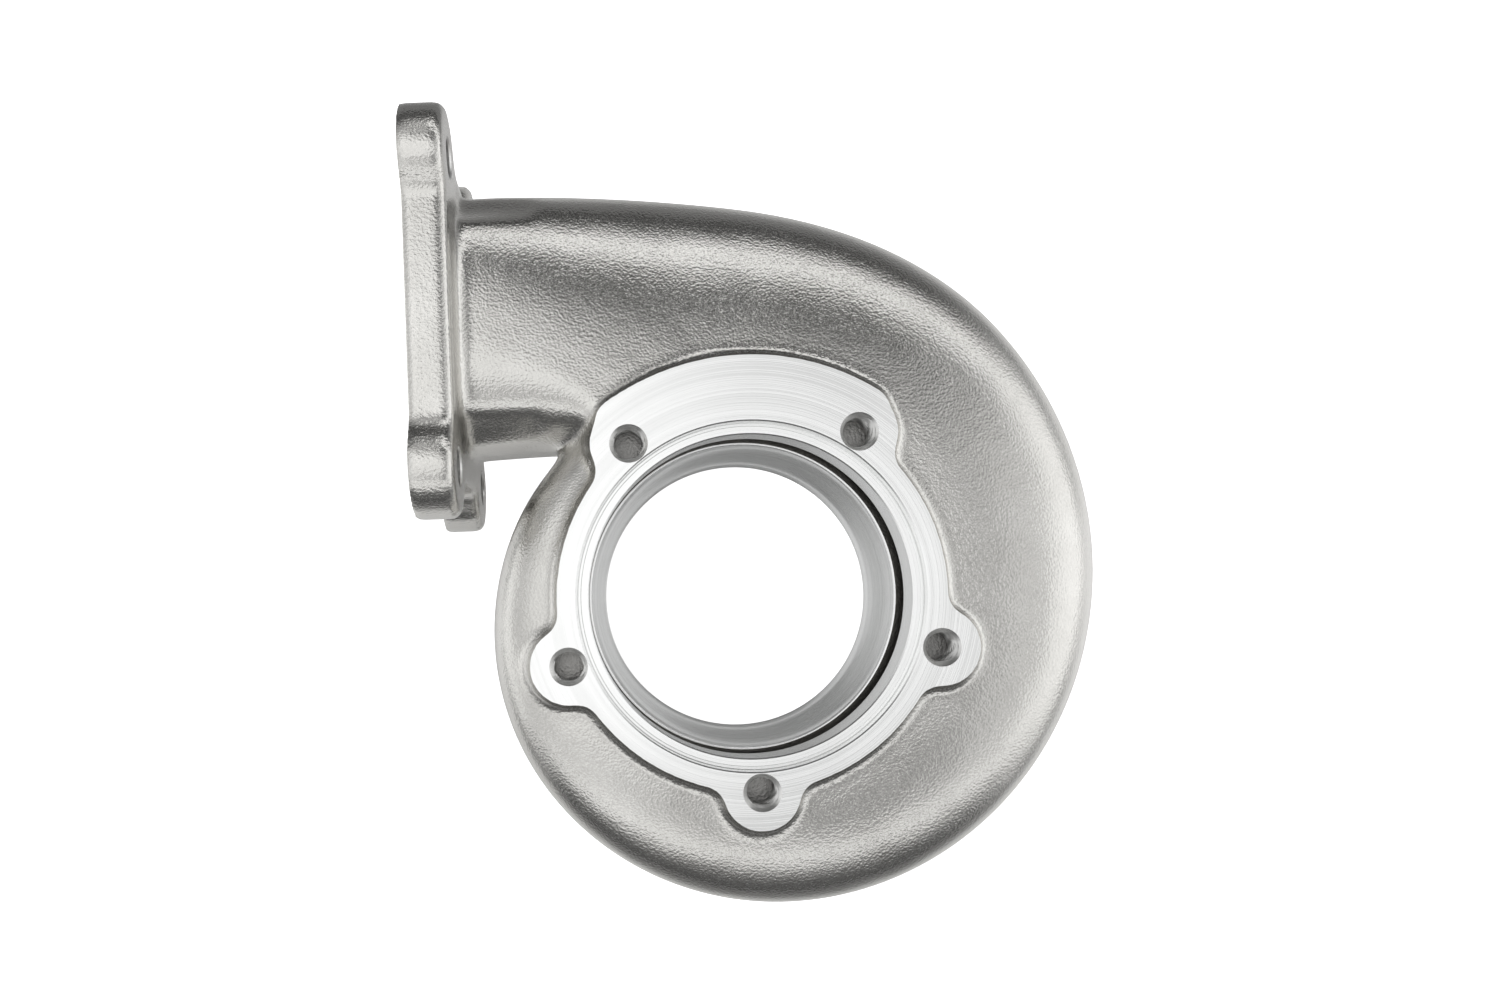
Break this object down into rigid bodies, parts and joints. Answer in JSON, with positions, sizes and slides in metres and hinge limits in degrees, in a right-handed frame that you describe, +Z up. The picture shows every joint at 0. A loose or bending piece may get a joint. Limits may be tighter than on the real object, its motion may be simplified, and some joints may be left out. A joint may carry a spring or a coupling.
{
  "type": "turbocharger turbine housing",
  "caption": "Spiral turbine housing with a rectangular four-stud inlet flange, a machined bearing-housing face and a clamp-ring outlet.",
  "frame": {"origin": "centre of the outlet ring's face, on the bore axis", "axes": "+Z up the bore axis to the bearing-housing face, -X out of the inlet flange, +Y towards the inlet duct"},
  "size_m": [0.2057, 0.2391, 0.1006],
  "materials": {
    "cast_steel": "bead-blasted cast stainless steel with turned faces"
  },
  "bodies": {
    "root": {"turbine_housing": "cast_steel"}
  },
  "joints": []
}
